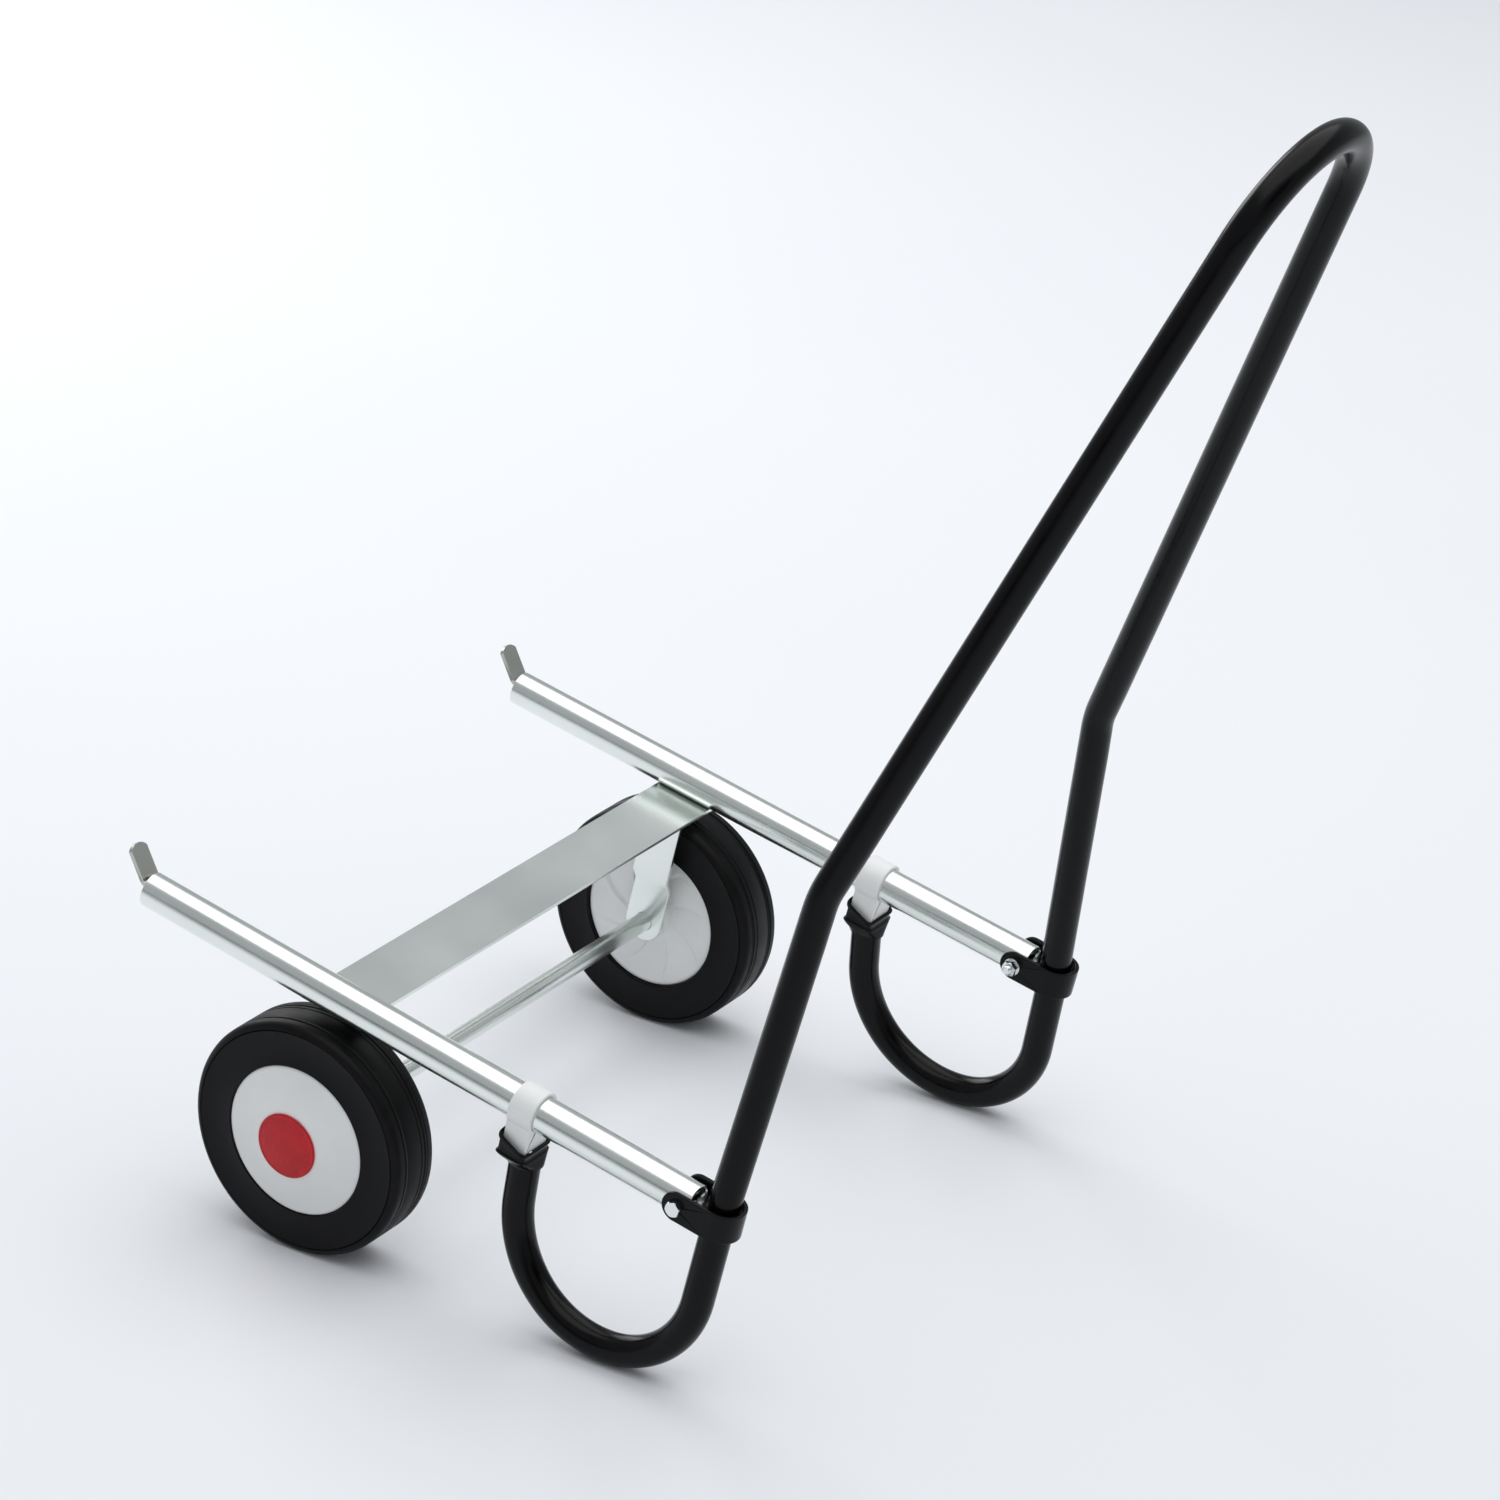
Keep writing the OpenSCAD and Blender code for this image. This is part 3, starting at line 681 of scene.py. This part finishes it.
def rail_seats():
    """Square sheet-metal funnels with a rounded rim that falls towards the rear."""
    u_mid = rail_u(middle_of("left_rail_clip"))
    half_u, half_y, wall = 0.01225, 0.017, 0.0018
    front, rear, low = -0.017, -0.027, -0.032
    leg_r = MOUNTS["left_handle_arm"]["dims"]["r_mm"] * MM

    def rim_v(u):
        t = (u + half_u) / (2 * half_u)
        return rear + (front - rear) * t

    for name, side in SIDES:
        def ring(inset, level):
            """level 0 is the throat, 1 the fold, 2 the rim"""
            share = 1 - min(level, 1.0)
            smooth = share * share * (3 - 2 * share)
            section = seat_section(half_u - inset, half_y - inset, smooth,
                                   leg_r + wall - inset, -LEG_BACK, -LEG_IN)
            out = []
            for u, w in section:
                if level <= 1:
                    v = THROAT_V + (low - THROAT_V) * level
                else:
                    v = low + (rim_v(u) - low) * (level - 1)
                out.append(rail_point(u_mid + u, w, v, side))
            return out

        levels = [0, 0.15, 0.3, 0.45, 0.6, 0.75, 0.9, 1.0, 1.15, 1.3, 1.6, 1.8]
        rings = [ring(0.0012 if 0.9 < level < 1.7 else 0.0, level) for level in levels[:-1]]
        rings += [ring(0.0003, 1.72), ring(0, 1.8), ring(0, 1.9)]
        rings += [ring(0.0003, 1.97), ring(wall / 2, 2.0), ring(wall - 0.0003, 1.97)]
        rings += [ring(wall, level) for level in reversed(levels)]
        vertices, faces = loft(rings, closed_ends=False)
        make_piece(name + "_rail_seat_pressing", vertices, faces, name + "_rail_seat", "handle_frame", 60)


# ---------- CAD nodes that keep their shape ----------

def dress_cad_nodes():
    """Gives each CAD node that still shows its material and softly broken edges."""
    edge = {"hinge_strap": 0.7, "cross_plate": 0.5, "axle_bracket": 0.6, "rail_clip": 0.9, "load_tab": 0.5}
    for node, obj in frame["nodes"].items():
        obj.data.materials.clear()
        obj.data.materials.append(MATERIALS[SLOTS[node]])
        kind = node.replace("left_", "").replace("right_", "")
        if obj.hide_render:
            continue
        weld = obj.modifiers.new("weld", "WELD")
        weld.merge_threshold = 1e-6
        bevel = obj.modifiers.new("bevel", "BEVEL")
        bevel.width = edge.get(kind, 0.2) * MM
        bevel.segments = 3
        bevel.limit_method = "ANGLE"
        bevel.angle_limit = math.radians(40)
        flat = obj.modifiers.new("flat faces", "WEIGHTED_NORMAL")
        flat.weight = 100


# ---------- stage ----------

def floor():
    mesh = bpy.data.meshes.new("floor")
    far = 14.0
    mesh.from_pydata([(-far, -far, 0), (far, -far, 0), (far, far, 0), (-far, far, 0)], [], [(0, 1, 2, 3)])
    ground = bpy.data.objects.new("floor", mesh)
    bpy.context.scene.collection.objects.link(ground)
    material, tree, shader = new_material("floor_paper")
    drift = noise(tree, 0.9, 2)
    tree.links.new(ramp(tree, drift, [(0.3, (0.82, 0.835, 0.865)), (0.7, (0.84, 0.855, 0.88))]),
                   shader.inputs["Base Color"])
    shader.inputs["Roughness"].default_value = 0.9
    mesh.materials.append(material)


def softbox(name, place, aim, width, height, power):
    data = bpy.data.lights.new(name, "AREA")
    data.shape = "RECTANGLE"
    data.size, data.size_y = width, height
    data.energy = power
    lamp = bpy.data.objects.new(name, data)
    lamp.location = place
    lamp.rotation_euler = (Vector(aim) - Vector(place)).to_track_quat("-Z", "Y").to_euler()
    bpy.context.scene.collection.objects.link(lamp)


def studio():
    world = bpy.data.worlds.new("studio")
    world.use_nodes = True
    back = world.node_tree.nodes["Background"]
    back.inputs["Color"].default_value = (0.90, 0.93, 0.97, 1)
    back.inputs["Strength"].default_value = 0.42
    bpy.context.scene.world = world
    centre = (0.0, 0.0, 0.3)
    softbox("top", (-0.3, -0.4, 4.2), centre, 6.5, 6.5, 172)
    softbox("side", (3.2, -1.6, 1.9), centre, 2.2, 1.8, 40)
    dark_card("card_low", (-0.2, 2.4, 0.62), 3.4, 0.26)
    dark_card("card_back", (-2.6, 1.2, 1.9), 1.6, 1.1)
    bpy.context.scene.view_settings.view_transform = "Standard"


def dark_card(name, place, width, height):
    """A black card that faces the trolley. The camera does not see it and it casts no shadow."""
    mesh = bpy.data.meshes.new(name)
    w, h = width / 2, height / 2
    mesh.from_pydata([(-w, -h, 0), (w, -h, 0), (w, h, 0), (-w, h, 0)], [], [(0, 1, 2, 3)])
    card = bpy.data.objects.new(name, mesh)
    bpy.context.scene.collection.objects.link(card)
    card.location = place
    card.rotation_euler = (Vector((0, 0, 0.2)) - Vector(place)).to_track_quat("-Z", "Y").to_euler()
    material, tree, shader = new_material(name)
    felt = noise(tree, 6, 2)
    tree.links.new(ramp(tree, felt, [(0.3, (0.004, 0.004, 0.004)), (0.7, (0.008, 0.008, 0.008))]),
                   shader.inputs["Base Color"])
    shader.inputs["Roughness"].default_value = 1.0
    mesh.materials.append(material)
    card.visible_camera = False
    card.visible_shadow = False
    card.visible_diffuse = False


def camera():
    """The camera looks at the trolley from behind its left side, a little above it."""
    azimuth, elevation, roll = math.radians(211.27), math.radians(24.19), math.radians(3.04)
    distance = 3.398
    aim = Vector((AXLE.x - 0.1967, 0, 0.3445))
    back = Vector((math.sin(azimuth) * math.cos(elevation), -math.cos(azimuth) * math.cos(elevation),
                   math.sin(elevation)))
    data = bpy.data.cameras.new("camera")
    data.sensor_width = 36
    data.lens = 122.3
    data.clip_end = 100
    cam = bpy.data.objects.new("camera", data)
    cam.location = aim + back * distance
    cam.rotation_mode = "QUATERNION"
    cam.rotation_quaternion = (-back).to_track_quat("-Z", "Y") @ Matrix.Rotation(roll, 4, "Z").to_quaternion()
    bpy.context.scene.collection.objects.link(cam)
    bpy.context.scene.camera = cam


handle_tube()
rails()
axle_rod()
tyres()
hubs()
hub_caps()
pivot_bolts()
pivot_nuts()
rail_seats()
dress_cad_nodes()
floor()
studio()
camera()
